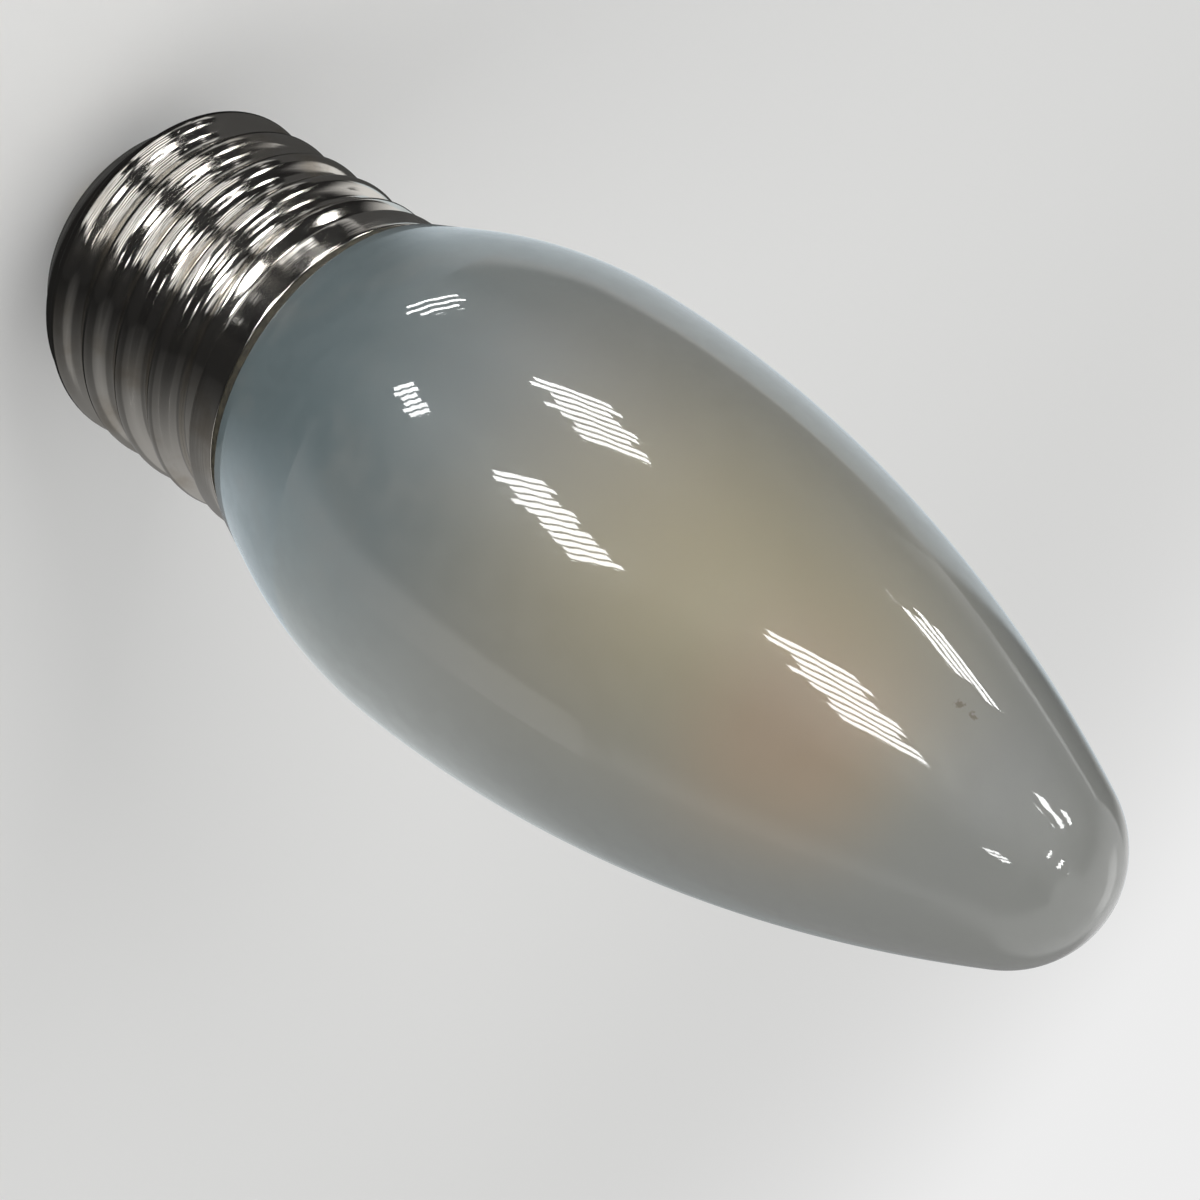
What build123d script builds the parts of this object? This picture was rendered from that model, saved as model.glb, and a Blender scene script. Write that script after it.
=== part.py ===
"""Frosted candle lamp with LED filaments and a screw cap, standing on its centre contact.

The lamp's axis is Z. The origin is the middle of the centre contact's lower face, with the cap
below and the tip of the glass above. All sizes are in millimetres and all angles in degrees.
"""
import os
from math import atan2, cos, degrees, radians, sin, tan

from build123d import *

os.makedirs("parts", exist_ok=True)

# Overall sizes
overall_length = 92.4
bulb_diameter = 35.0
cap_height = 27.0

# Glass bulb
glass_wall = 0.9
belly_above_rim = 18.1
tip_radius = 7.35
mouth_overhang = 0.15
mouth_roundness = 1.53
neck_reach = 6.5
seat_lean = 62
seat_gap = 1.0
cement_gap = 0.55
spline_fit = 0.001

# Screw shell and its rolled thread
thread_diameter = 26.2
thread_depth = 1.05
thread_pitch = 3.629
thread_round = 1.025
thread_flank = 55
thread_start = 2.85
thread_sink = 0.15
thread_overrun = 1.7
shell_wall = 0.3
shell_foot = 5.3
shell_foot_draw = 1.75
shell_corner = 7.6
collar_inset = 0.1
collar_height = 2.6
collar_step = 0.4
lip_bevel = 0.12

# Far end of the cap
contact_diameter = 9.5
contact_thickness = 0.9
contact_bevel = 0.3
insulator_foot_diameter = 11.2
wire_hole_diameter = 2.4
solder_height = 1.6
solder_recess = 0.1

# Glass stem
stem_wall = 0.8
seal_height = 1.4
flare_height = 7.5
stem_tube_diameter = 8.0
press_foot = 5.0
press_height = 5.0
press_width = 8.4
press_thickness = 3.6
pillar_diameter = 3.2
pillar_bead_diameter = 4.4
pillar_bead_height = 3.0
exhaust_diameter = 3.0
exhaust_wall = 0.6
exhaust_reach = 6.0
exhaust_seal = 1.2

# Filaments and the wires that carry them
wire_diameter = 0.4
bar_diameter = 0.5
lead_spacing = 4.7
lead_knee = 1.2
filament_spacing = 8.8
filament_foot_rise = 3.0
top_bar_drop = 17.4
strip_width = 0.9
strip_thickness = 0.4
strip_overhang = 1.2
coat_width = 1.7
coat_thickness = 1.5
coat_bevel = 0.45
coat_bare_end = 2.6

# Driver inside the cap
board_gap = 2.45
board_thickness = 1.0
board_above_insulator = 2.2
rectifier_size = (3.9, 4.7, 1.6)
rectifier_place = (5.2, -3.4)
chip_size = (3.9, 4.9, 1.5)
chip_place = (-5.2, -3.4)
chip_lean = 0.25
capacitor_diameter = 6.3
capacitor_height = 7.0
capacitor_place = (0.0, 5.6)
capacitor_bevel = 0.4
fuse_diameter = 2.4
fuse_length = 6.0
fuse_place = (0.0, -5.8)
neutral_place = -8.2
neutral_rise = 3.0
neutral_gap = 0.02

# Radii and heights that follow from the sizes above
belly_radius = bulb_diameter / 2
belly_height = cap_height + belly_above_rim
root_radius = thread_diameter / 2 - thread_depth
bore_radius = root_radius - shell_wall
foot_bore = bore_radius - shell_foot_draw
collar_radius = thread_diameter / 2 - collar_inset
collar_bore = collar_radius - shell_wall
collar_foot = cap_height - collar_height
mouth_radius = collar_radius + mouth_overhang
neck_radius = bore_radius - cement_gap
neck_bore = neck_radius - glass_wall
neck_foot = cap_height - neck_reach
wire_radius = wire_diameter / 2
wire_hole_radius = wire_hole_diameter / 2
press_base = cap_height + press_foot
press_top = press_base + press_height
filament_foot_bar = press_top + filament_foot_rise
top_bar = overall_length - top_bar_drop
filament_span = top_bar - filament_foot_bar
lead_x = lead_spacing / 2
filament_x = filament_spacing / 2
board_base = shell_corner + board_above_insulator
board_top = board_base + board_thickness
board_radius = bore_radius - board_gap
exhaust_end = neck_foot - exhaust_reach

# The candle outline: a cone from the mouth, a shoulder arc, a long flank arc and a round tip.
# Each runs smoothly into the next, so the cone's lean and both long radii are worked out.
belly_rise = belly_height - cap_height
belly_swell = belly_radius - mouth_radius
cone_lean = mouth_roundness * atan2(belly_swell, belly_rise)
shoulder_radius = (belly_rise * sin(cone_lean) - belly_swell * cos(cone_lean)) / (1 - cos(cone_lean))
cone_end = (
    belly_radius - shoulder_radius * (1 - cos(cone_lean)),
    belly_height - shoulder_radius * sin(cone_lean),
)
tip_rise = overall_length - tip_radius - belly_height
flank_radius = (tip_rise**2 + belly_radius**2 - tip_radius**2) / (2 * (belly_radius - tip_radius))
flank_turn = degrees(atan2(tip_rise, flank_radius - belly_radius))

# The seat below the cone leans in to the neck, clear of the shell's rim
seat_top = (mouth_radius + seat_gap * tan(cone_lean), cap_height + seat_gap)
seat_foot = (neck_radius, seat_top[1] - (seat_top[0] - neck_radius) / tan(radians(seat_lean)))


def finish(part, name):
    """Label a finished piece and write it as its own file."""
    part.label = name
    export_step(part, f"parts/{name}.step")


def rod(start, end, diameter):
    """A straight round rod between two points."""
    with BuildPart() as bar:
        with BuildSketch(Plane(origin=start, z_dir=Vector(*end) - Vector(*start))):
            Circle(diameter / 2)
        extrude(amount=(Vector(*end) - Vector(*start)).length)
    return bar.part


def moved_in(point, lean_before, lean_after, inset):
    """A corner of the outline, moved inwards square to both of its sides. Leans are from the axis."""
    share = inset / (1 + cos(lean_after - lean_before))
    across = cos(lean_before) + cos(lean_after)
    along = sin(lean_before) + sin(lean_after)
    return (point[0] - share * across, point[1] + share * along)


def bulb_body(inset):
    """The whole body inside the bulb's outline, or inside a line that lies an inset within it.

    The long arcs are turned about an axis that cuts through their circles. Spline faces take the
    same form there and divide evenly.
    """
    lean = radians(seat_lean)
    with BuildPart() as body:
        with BuildSketch(Plane.XZ):
            with BuildLine():
                lower = Polyline(
                    (neck_radius - inset, neck_foot),
                    moved_in(seat_foot, 0, lean, inset),
                    moved_in(seat_top, lean, cone_lean, inset),
                    moved_in(cone_end, cone_lean, cone_lean, inset),
                )
                shoulder = JernArc(lower @ 1, lower % 1, shoulder_radius - inset, degrees(cone_lean))
                flank = JernArc(shoulder @ 1, shoulder % 1, flank_radius - inset, flank_turn)
                tip = JernArc(flank @ 1, flank % 1, tip_radius - inset, 90 - flank_turn)
                Polyline(tip @ 1, (0, neck_foot), lower @ 0)
            make_face()
        revolve(axis=Axis.Z)
    return body.part.to_splines(degree=3, tolerance=spline_fit).fix()


# Glass bulb: one blown wall from the foot of the neck to the tip
with BuildPart() as glass_bulb:
    add(bulb_body(0))
    add(bulb_body(glass_wall), mode=Mode.SUBTRACT)
finish(glass_bulb.part, "glass_bulb")

# Rolled thread: a rounded ridge on a right-hand helix, wider at its foot than at its crest
crest_side = thread_round * sin(radians(thread_flank))
crest_drop = thread_round * (1 - cos(radians(thread_flank)))
crest_flat = thread_round * tan(radians(thread_flank) / 3)
foot_half = crest_side + (thread_depth - crest_drop + thread_sink) / tan(radians(thread_flank))
run_out = thread_depth + thread_sink
with BuildPart() as thread_ridge:
    with BuildLine(Plane.XY.offset(thread_start)) as helix:
        Helix(pitch=thread_pitch, height=collar_foot + thread_overrun - thread_start, radius=root_radius)
    with BuildSketch(Plane(origin=helix.line @ 0, z_dir=helix.line % 0, x_dir=(1, 0, 0))):
        with BuildLine():
            Polyline(
                (-thread_sink, -foot_half),
                (thread_depth - crest_drop, -crest_side),
                (thread_depth, -crest_flat),
                (thread_depth, crest_flat),
                (thread_depth - crest_drop, crest_side),
                (-thread_sink, foot_half),
                close=True,
            )
        make_face()
    sweep(path=helix.line, is_frenet=True)
    with BuildSketch(Plane.XZ):
        with BuildLine():
            Polyline(
                (0, shell_corner - run_out),
                (root_radius - thread_sink, shell_corner - run_out),
                (root_radius + run_out, shell_corner + run_out),
                (root_radius + run_out, collar_foot - run_out),
                (root_radius - thread_sink, collar_foot),
                (0, collar_foot),
                close=True,
            )
        make_face()
    revolve(axis=Axis.Z, mode=Mode.INTERSECT)

# Screw shell: thin drawn metal, drawn in at its foot and stepped out to a plain collar
with BuildPart() as screw_shell:
    with BuildSketch(Plane.XZ):
        with BuildLine():
            Polyline(
                (foot_bore, shell_foot),
                (bore_radius, shell_corner),
                (bore_radius, collar_foot),
                (collar_bore, collar_foot + collar_step),
                (collar_bore, cap_height),
            )
            offset(amount=shell_wall, side=Side.RIGHT, kind=Kind.INTERSECTION)
        make_face()
    revolve(axis=Axis.Z)
    rim = screw_shell.faces().sort_by(Axis.Z)[-1]
    chamfer(rim.edges().sort_by(SortBy.RADIUS)[-1], lip_bevel)
    add(thread_ridge.part)
finish(screw_shell.part, "screw_shell")

# Basing cement: fills the space between the neck and the shell up to the bend of the neck
with BuildPart() as basing_cement:
    with BuildSketch(Plane.XZ):
        with BuildLine():
            Polyline(
                (neck_radius, neck_foot),
                (bore_radius, neck_foot),
                (bore_radius, collar_foot),
                (collar_bore, collar_foot + collar_step),
                (collar_bore, seat_foot[1]),
                seat_foot,
                close=True,
            )
        make_face()
    revolve(axis=Axis.Z)
finish(basing_cement.part, "basing_cement")

# Cap insulator: dark glass cast between the shell's foot and the contact, holed for the live wire
with BuildPart() as cap_insulator:
    with BuildSketch(Plane.XZ):
        with BuildLine():
            Polyline(
                (wire_hole_radius, contact_thickness),
                (insulator_foot_diameter / 2, contact_thickness),
                (foot_bore, shell_foot),
                (bore_radius, shell_corner),
                (wire_hole_radius, shell_corner),
                close=True,
            )
        make_face()
    revolve(axis=Axis.Z)
finish(cap_insulator.part, "cap_insulator")

# Centre contact: a flat eyelet under the insulator
with BuildPart() as centre_contact:
    with BuildSketch():
        Circle(contact_diameter / 2)
        Circle(wire_hole_radius, mode=Mode.SUBTRACT)
    extrude(amount=contact_thickness)
    low_edges = centre_contact.edges().group_by(Axis.Z)[0]
    chamfer(low_edges.sort_by(SortBy.RADIUS)[-1], contact_bevel)
finish(centre_contact.part, "centre_contact")

# Live wire: from the board straight down into the solder
live_foot = solder_recess + contact_thickness / 2
live_wire = rod((0, 0, live_foot), (0, 0, board_base), wire_diameter)
finish(live_wire, "live_wire")

# Contact solder: fills the eyelet round the live wire
with BuildPart() as contact_solder:
    with BuildSketch(Plane.XY.offset(solder_recess)):
        Circle(wire_hole_radius)
    extrude(amount=solder_height)
    add(live_wire, mode=Mode.SUBTRACT)
finish(contact_solder.part, "contact_solder")


def lead(side):
    """One lead: up from the board through the press, out to a cross bar for two filament feet."""
    bar_x = side * filament_x
    knee = (side * lead_x, 0, press_top + lead_knee)
    with BuildPart() as wire:
        with BuildLine() as path:
            Polyline((side * lead_x, 0, board_top), knee, (bar_x, 0, filament_foot_bar))
        with BuildSketch(Plane(origin=path.line @ 0, z_dir=path.line % 0)):
            Circle(wire_radius)
        sweep(path=path.line, transition=Transition.RIGHT)
        bar_ends = [(bar_x, across, filament_foot_bar) for across in (-filament_x, filament_x)]
        add(rod(*bar_ends, bar_diameter))
    return wire.part


lead_wire_a = lead(1)
lead_wire_b = lead(-1)
finish(lead_wire_a, "lead_wire_a")
finish(lead_wire_b, "lead_wire_b")

# Top support: one wire through the pillar's bead with a cross bar at each end
with BuildPart() as top_support:
    add(rod((-filament_x, 0, top_bar), (filament_x, 0, top_bar), wire_diameter))
    for bar_x in (-filament_x, filament_x):
        add(rod((bar_x, -filament_x, top_bar), (bar_x, filament_x, top_bar), bar_diameter))
finish(top_support.part, "top_support")

# Exhaust tube: drawn off and sealed at its lower end, joined to the press above
with BuildPart() as exhaust_tube:
    with BuildSketch(Plane.XZ):
        with BuildLine():
            Polyline(
                (0, exhaust_end),
                (exhaust_diameter / 2, exhaust_end + exhaust_seal),
                (exhaust_diameter / 2, press_base - stem_wall),
                (exhaust_diameter / 2 - exhaust_wall, press_base - stem_wall),
                (exhaust_diameter / 2 - exhaust_wall, exhaust_end + exhaust_seal),
                (0, exhaust_end + exhaust_seal),
                close=True,
            )
        make_face()
    revolve(axis=Axis.Z)
finish(exhaust_tube.part, "exhaust_tube")

# Glass stem: a flare sealed into the neck, a tube, the flat press round the leads, and the pillar
stem_radius = stem_tube_diameter / 2
flare_top = neck_foot + seal_height + flare_height
with BuildPart() as glass_stem:
    with BuildSketch(Plane.XZ):
        with BuildLine():
            Polyline(
                (neck_bore, neck_foot),
                (neck_bore, neck_foot + seal_height),
                (stem_radius, flare_top),
                (stem_radius, press_base),
                (0, press_base),
                (0, press_base - stem_wall),
                (stem_radius - stem_wall, press_base - stem_wall),
                (stem_radius - stem_wall, flare_top),
                (neck_bore - stem_wall, neck_foot + seal_height),
                (neck_bore - stem_wall, neck_foot),
                close=True,
            )
        make_face()
    revolve(axis=Axis.Z)
    with BuildSketch(Plane.XY.offset(press_base)):
        Rectangle(press_width, press_thickness)
    extrude(amount=press_height)
    with BuildSketch(Plane.XY.offset(press_top)):
        Circle(pillar_diameter / 2)
    extrude(amount=top_bar - press_top)
    with BuildSketch(Plane.XY.offset(top_bar - pillar_bead_height / 2)):
        Circle(pillar_bead_diameter / 2)
    extrude(amount=pillar_bead_height)
    for metal in (lead_wire_a, lead_wire_b, top_support.part):
        add(metal, mode=Mode.SUBTRACT)
finish(glass_stem.part, "glass_stem")

# Filaments: a flat strip welded to the outer side of its bars, with a phosphor coat round its middle
strip_length = filament_span + 2 * strip_overhang
strip_middle = filament_foot_bar + filament_span / 2
strip_x = filament_x + bar_diameter / 2 + strip_thickness / 2
coat_length = strip_length - 2 * coat_bare_end
corners = [(1, 1), (1, -1), (-1, -1), (-1, 1)]
for number, (side, row) in enumerate(corners, start=1):
    place = Plane((side * strip_x, row * (filament_x - strip_width / 2), strip_middle))
    with BuildPart() as filament_strip:
        with BuildSketch(place.offset(-strip_length / 2)):
            Rectangle(strip_thickness, strip_width)
        extrude(amount=strip_length)
    finish(filament_strip.part, f"filament_strip_{number}")
    with BuildPart() as phosphor_coat:
        with BuildSketch(place.offset(-coat_length / 2)):
            coat = Rectangle(coat_thickness, coat_width)
            chamfer(coat.vertices(), coat_bevel)
            Rectangle(strip_thickness, strip_width, mode=Mode.SUBTRACT)
        extrude(amount=coat_length)
    finish(phosphor_coat.part, f"phosphor_coat_{number}")

# Neutral wire: from the board up and out to the shell's wall
with BuildPart() as neutral_wire:
    with BuildLine() as neutral_path:
        Polyline(
            (neutral_place, 0, board_top),
            (neutral_place, 0, board_top + neutral_rise),
            (neutral_gap - bore_radius, 0, board_top + neutral_rise),
        )
    with BuildSketch(Plane(origin=neutral_path.line @ 0, z_dir=neutral_path.line % 0)):
        Circle(wire_radius)
    sweep(path=neutral_path.line, transition=Transition.RIGHT)
finish(neutral_wire.part, "neutral_wire")

# Driver board: round, with the leads and the neutral wire on its upper face and the live wire below
with BuildPart() as driver_board:
    with BuildSketch(Plane.XY.offset(board_base)):
        Circle(board_radius)
    extrude(amount=board_thickness)
finish(driver_board.part, "driver_board")


def chip_body(size, place, name):
    """A moulded package with leaning sides, on the board's upper face."""
    width, length, height = size
    with BuildPart() as package:
        with BuildSketch(Plane.XY.offset(board_top)):
            with Locations(place):
                Rectangle(width, length)
        with BuildSketch(Plane.XY.offset(board_top + height)):
            with Locations(place):
                Rectangle(width - 2 * chip_lean, length - 2 * chip_lean)
        loft()
    finish(package.part, name)


chip_body(rectifier_size, rectifier_place, "bridge_rectifier")
chip_body(chip_size, chip_place, "driver_chip")

# Smoothing capacitor: a small can standing on the board
with BuildPart() as smoothing_capacitor:
    with BuildSketch(Plane.XY.offset(board_top)):
        with Locations(capacitor_place):
            Circle(capacitor_diameter / 2)
    extrude(amount=capacitor_height)
    chamfer(smoothing_capacitor.edges().group_by(Axis.Z)[-1], capacitor_bevel)
finish(smoothing_capacitor.part, "smoothing_capacitor")

# Fuse resistor: lies on the board, across the live side
fuse_height = board_top + fuse_diameter / 2
fuse_reach = fuse_length / 2
fuse_ends = [(fuse_place[0] + reach, fuse_place[1], fuse_height) for reach in (-fuse_reach, fuse_reach)]
finish(rod(*fuse_ends, fuse_diameter), "fuse_resistor")
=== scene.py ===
"""Looks of a frosted candle lamp: glass, screw shell, cap end and the pieces inside, on a plain stage.

Everything is in metres in the lamp's own frame: the axis is Z, the contact's lower face is at zero. The
tables of finishes and stage pieces are in millimetres and degrees.
"""
from functools import partial
from math import atan2, cos, pi, radians, sin, tan
from typing import NamedTuple

import bpy
from bpy.props import FloatProperty, FloatVectorProperty, IntProperty, PointerProperty
from mathutils import Matrix, Vector


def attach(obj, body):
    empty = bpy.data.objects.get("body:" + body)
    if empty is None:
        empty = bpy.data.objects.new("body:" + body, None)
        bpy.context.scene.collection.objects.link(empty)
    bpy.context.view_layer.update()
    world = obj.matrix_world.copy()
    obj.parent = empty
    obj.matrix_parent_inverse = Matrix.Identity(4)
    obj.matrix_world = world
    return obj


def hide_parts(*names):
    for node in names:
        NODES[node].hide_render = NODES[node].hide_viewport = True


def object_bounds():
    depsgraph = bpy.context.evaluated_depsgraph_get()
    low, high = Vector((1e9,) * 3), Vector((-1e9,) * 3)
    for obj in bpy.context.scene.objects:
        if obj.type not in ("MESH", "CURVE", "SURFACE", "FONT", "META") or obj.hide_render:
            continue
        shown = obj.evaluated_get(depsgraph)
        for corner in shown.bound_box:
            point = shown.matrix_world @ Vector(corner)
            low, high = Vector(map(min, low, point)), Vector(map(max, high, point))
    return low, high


bl_info = {
    "name": "Candle lamp looks",
    "version": (1, 0, 0),
    "blender": (4, 5, 0),
    "location": "View3D > Sidebar > Candle lamp",
    "description": "Dresses a frosted candle lamp with a screw cap and sets it on a plain stage",
    "category": "Object",
}

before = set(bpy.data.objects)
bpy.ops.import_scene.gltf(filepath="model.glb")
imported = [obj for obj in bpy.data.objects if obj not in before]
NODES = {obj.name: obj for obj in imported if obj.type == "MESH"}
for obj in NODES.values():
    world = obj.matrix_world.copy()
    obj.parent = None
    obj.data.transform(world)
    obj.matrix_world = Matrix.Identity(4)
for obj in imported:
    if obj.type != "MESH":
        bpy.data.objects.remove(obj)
CAD_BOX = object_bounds()
MM = 0.001


def number(name, description, value, **more):
    """A number that a user may change."""
    return FloatProperty(name=name, description=description, default=value, **more)


def length(name, description, millimetres):
    """A size that a user may change, given in millimetres and kept in metres."""
    return number(name, description, millimetres * MM, min=0.0, precision=5, unit="LENGTH")


def colour(name, description, red, green, blue):
    """A finish colour that a user may change."""
    return FloatVectorProperty(
        name=name, description=description, default=(red, green, blue), size=3, min=0.0, max=1.0,
        subtype="COLOR",
    )


def share(name, description, value):
    """A setting from nought to one."""
    return number(name, description, value, min=0.0, max=1.0, subtype="FACTOR")


class GlassSettings(bpy.types.PropertyGroup):
    """Sizes and colours of the blown glass."""

    tip_height: length("Tip height", "Height of the tip of the glass", 92.4)
    belly_radius: length("Belly radius", "Largest radius of the glass", 17.5)
    belly_height: length("Belly height", "Height of the largest radius", 45.1)
    tip_radius: length("Tip radius", "Radius of the round tip", 7.35)
    mouth_radius: length("Mouth radius", "Radius of the glass at the shell's rim", 13.15)
    rim_height: length("Rim height", "Height of the shell's rim", 27.0)
    seat_gap: length("Seat gap", "Height of the cone's end above the rim", 1.0)
    neck_radius: length("Neck radius", "Radius of the neck inside the shell", 11.2)
    neck_foot: length("Neck foot", "Height of the neck's lower end", 20.5)
    wall: length("Wall", "Thickness of the glass", 0.9)
    seat_round: length("Seat round", "Rounding of the bend above the neck", 0.5)
    roundness: number("Mouth roundness", "Lean of the cone against its chord", 1.53, min=1.0)
    seat_lean: number(
        "Seat lean", "Lean of the seat from the axis", radians(62.0), subtype="ANGLE", unit="ROTATION"
    )
    # Painted shade: the frost near the cap is darker and bluer, and this reaches higher in front and behind
    shaded_frost: colour("Cool frost", "Frost near the cap", 0.158, 0.21, 0.223)
    plain: colour("Plain frost", "Frost at the shoulder and the tip", 0.278, 0.284, 0.267)
    warm: colour("Warm frost", "Frost in front of the filaments", 0.394, 0.35, 0.231)
    blush: colour("Blush frost", "Frost in front of the filaments' upper ends", 0.388, 0.304, 0.217)
    speck: colour("Speck", "Dirt on the glass", 0.185, 0.165, 0.12)
    frost: share("Frost", "Roughness of the frost", 0.5)
    clearness: share("Clearness", "Share of light that passes the frost", 0.3)


class ShellSettings(bpy.types.PropertyGroup):
    """Sizes and colour of the rolled screw shell."""

    root_radius: length("Root radius", "Radius at the bottom of the thread", 12.05)
    depth: length("Thread depth", "Height of the crests over the roots", 1.05)
    pitch: length("Thread pitch", "Rise of the thread in one turn", 3.629)
    start: length("Thread start", "Height of a crest on the X axis", 2.85)
    run: length("Thread run", "Length over which the thread fades at its ends", 2.0)
    foot_radius: length("Foot radius", "Radius of the shell's lower edge", 10.24)
    foot_height: length("Foot height", "Height of the shell's lower edge", 5.12)
    corner_height: length("Corner height", "Height where the foot meets the barrel", 7.5)
    collar_radius: length("Collar radius", "Radius of the plain collar", 13.0)
    collar_foot: length("Collar foot", "Height where the barrel steps out", 24.2)
    collar_step: length("Collar step", "Rise of the step out to the collar", 0.4)
    rim_height: length("Rim height", "Height of the rim", 27.0)
    wall: length("Wall", "Thickness of the sheet", 0.25)
    lip_round: length("Lip round", "Rounding of the rim's edges", 0.11)
    step_round: length("Step round", "Rounding of the bends in the sheet", 0.35)
    row: length("Row", "Distance between rows of faces along the barrel", 0.14)
    mark_depth: length("Mark depth", "Depth of the marks that the rolls left", 0.012)
    nickel: colour("Nickel", "Colour of the nickel plate", 0.72, 0.69, 0.64)
    stain: colour("Stain", "Colour of the duller patches of the plate", 0.58, 0.53, 0.46)


class CapEndSettings(bpy.types.PropertyGroup):
    """Sizes of the cement's bead, and colours of the cement and the far end of the cap."""

    bead: length("Bead", "How far the cement stands out over the collar", 0.22)
    bead_gap: length("Bead gap", "Room round the cement", 0.03)
    bead_round: length("Bead round", "Rounding of the cement's edges", 0.1)
    cement: colour("Cement", "Colour of the basing cement", 0.062, 0.053, 0.028)
    cement_dark: colour("Dark cement", "Colour of the cement's darker grains", 0.03, 0.026, 0.014)
    insulator: colour("Insulator", "Colour of the glass insulator", 0.008, 0.008, 0.009)
    contact: colour("Contact", "Colour of the centre contact", 0.7, 0.6, 0.4)
    solder: colour("Solder", "Colour of the solder", 0.5, 0.5, 0.51)


class InsideSettings(bpy.types.PropertyGroup):
    """Colours of the pieces inside the glass and the cap."""

    phosphor: colour("Phosphor", "Colour of the coats on the filaments", 0.9, 0.5, 0.06)
    strip: colour("Strip", "Colour of the filament strips", 0.85, 0.83, 0.78)
    wire: colour("Wire", "Colour of the wires", 0.6, 0.56, 0.5)
    stem: colour("Stem", "Colour of the glass stem", 0.9, 0.93, 0.92)
    board: colour("Board", "Colour of the driver board", 0.02, 0.1, 0.04)
    chip: colour("Chip", "Colour of the moulded packages", 0.015, 0.015, 0.016)
    can: colour("Can", "Colour of the capacitor's can", 0.62, 0.63, 0.65)
    fuse: colour("Fuse", "Colour of the fuse resistor", 0.1, 0.2, 0.24)


class StageSettings(bpy.types.PropertyGroup):
    """Floor, light and camera."""

    floor_size: length("Floor size", "Side of the square floor", 6000.0)
    floor: colour("Floor", "Colour of the floor", 0.8, 0.8, 0.79)
    sky: number("Sky", "Strength of the even light all round", 0.62)
    backdrop: share("Backdrop", "Brightness of the background that the camera sees", 0.85)
    key: number("Key", "Power of the main lamp", 2.25, unit="POWER")
    fill: number("Fill", "Power of the second lamp", 1.5, unit="POWER")
    glint: number("Glint", "Strength of the panels seen in the gloss", 19.0)
    # The shade is the brightness of the painted shadow in front and of the dark screen
    shade: share("Shade", "Brightness of the dark cloth and screen in front", 0.014)
    pale: share("Pale", "Brightness of the pale sheet behind", 0.8)
    lens: number("Lens", "Focal length of the camera", 69.63, unit="CAMERA")
    turns: IntProperty(name="Turns", description="Faces round a turned piece", default=160, min=24)


# Turned meshes


# A rounded corner takes up no more than this share of either of its sides
MOST_CUT = 0.45
# A point of an outline that is nearer to the axis than this lies on it, in metres
ON_AXIS = 1e-9


def metres(values):
    """Millimetres of a table in metres."""
    return [value * MM for value in values]


def rounded(points, radius, steps=5):
    """A line with its inner corners rounded off, all by one radius."""
    result = [points[0]]
    for before, corner, after in zip(points, points[1:], points[2:]):
        corner = Vector(corner)
        to_before = Vector(before) - corner
        to_after = Vector(after) - corner
        bend = to_before.angle(to_after)
        cut = min(radius / tan(bend / 2), MOST_CUT * to_before.length, MOST_CUT * to_after.length)
        start = corner + to_before.normalized() * cut
        end = corner + to_after.normalized() * cut
        for step in range(steps + 1):
            t = step / steps
            result.append(tuple((1 - t) ** 2 * start + 2 * t * (1 - t) * corner + t * t * end))
    result.append(points[-1])
    return result


def divided(points, spacing):
    """A line with points added, about as far apart as the spacing."""
    result = [points[0]]
    for start, end in zip(points, points[1:]):
        reach = Vector(end) - Vector(start)
        count = max(1, round(reach.length / spacing))
        result += [tuple(Vector(start) + reach * step / count) for step in range(1, count + 1)]
    return result


def arc(centre, radius, start, end, steps):
    """Points of an arc in the outline's plane, angles from the outward direction."""
    angles = [start + (end - start) * step / steps for step in range(steps + 1)]
    return [(centre[0] + radius * cos(angle), centre[1] + radius * sin(angle)) for angle in angles]


def placed(name, mesh):
    """A new object in the scene."""
    piece = bpy.data.objects.new(name, mesh)
    bpy.context.scene.collection.objects.link(piece)
    return piece


def turned(name, outline, turns):
    """A closed mesh made by turning a closed outline of radius and height about the axis."""
    vertices, faces, rings = [], [], []
    for radius, height in outline:
        first = len(vertices)
        if radius < ON_AXIS:
            vertices.append((0.0, 0.0, height))
            rings.append([first] * turns)
            continue
        for turn in range(turns):
            angle = 2 * pi * turn / turns
            vertices.append((radius * cos(angle), radius * sin(angle), height))
        rings.append(list(range(first, first + turns)))
    for lower, upper in zip(rings, rings[1:] + rings[:1]):
        for turn in range(turns):
            after = (turn + 1) % turns
            face = [lower[turn], lower[after], upper[after], upper[turn]]
            corners = list(dict.fromkeys(face))
            if len(corners) > 2:
                faces.append(corners)
    mesh = bpy.data.meshes.new(name)
    mesh.from_pydata(vertices, [], faces)
    mesh.validate()
    mesh.shade_smooth()
    return placed(name, mesh)


def settle(piece, node):
    """Hand a finished piece to the frame, in place of a node."""
    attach(piece, "root")
    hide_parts(node)


# Node helpers


# Places of the sockets on a mix node for colours
MIX_FACTOR, MIX_FIRST, MIX_SECOND, MIX_RESULT = 0, 6, 7, 2


def feed(tree, node, sources):
    """Give a node's sockets, by name or place, plain values or links to other sockets."""
    for place, value in dict(sources).items():
        if isinstance(value, bpy.types.NodeSocket):
            tree.links.new(value, node.inputs[place])
        else:
            node.inputs[place].default_value = value


def made(tree, kind, sources=(), **settings):
    """A new node with its settings and what feeds it."""
    node = tree.nodes.new(kind)
    for name, value in settings.items():
        setattr(node, name, value)
    feed(tree, node, sources)
    return node


def calculate(tree, operation, *values):
    """A math node fed with numbers or sockets; gives its result."""
    return made(tree, "ShaderNodeMath", enumerate(values), operation=operation).outputs[0]


def measure(tree, operation, *values):
    """A vector math node fed with vectors or sockets; gives its outputs."""
    return made(tree, "ShaderNodeVectorMath", enumerate(values), operation=operation).outputs


def axes(tree, place):
    """The three parts of a place."""
    return made(tree, "ShaderNodeSeparateXYZ", {"Vector": place}).outputs


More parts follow.
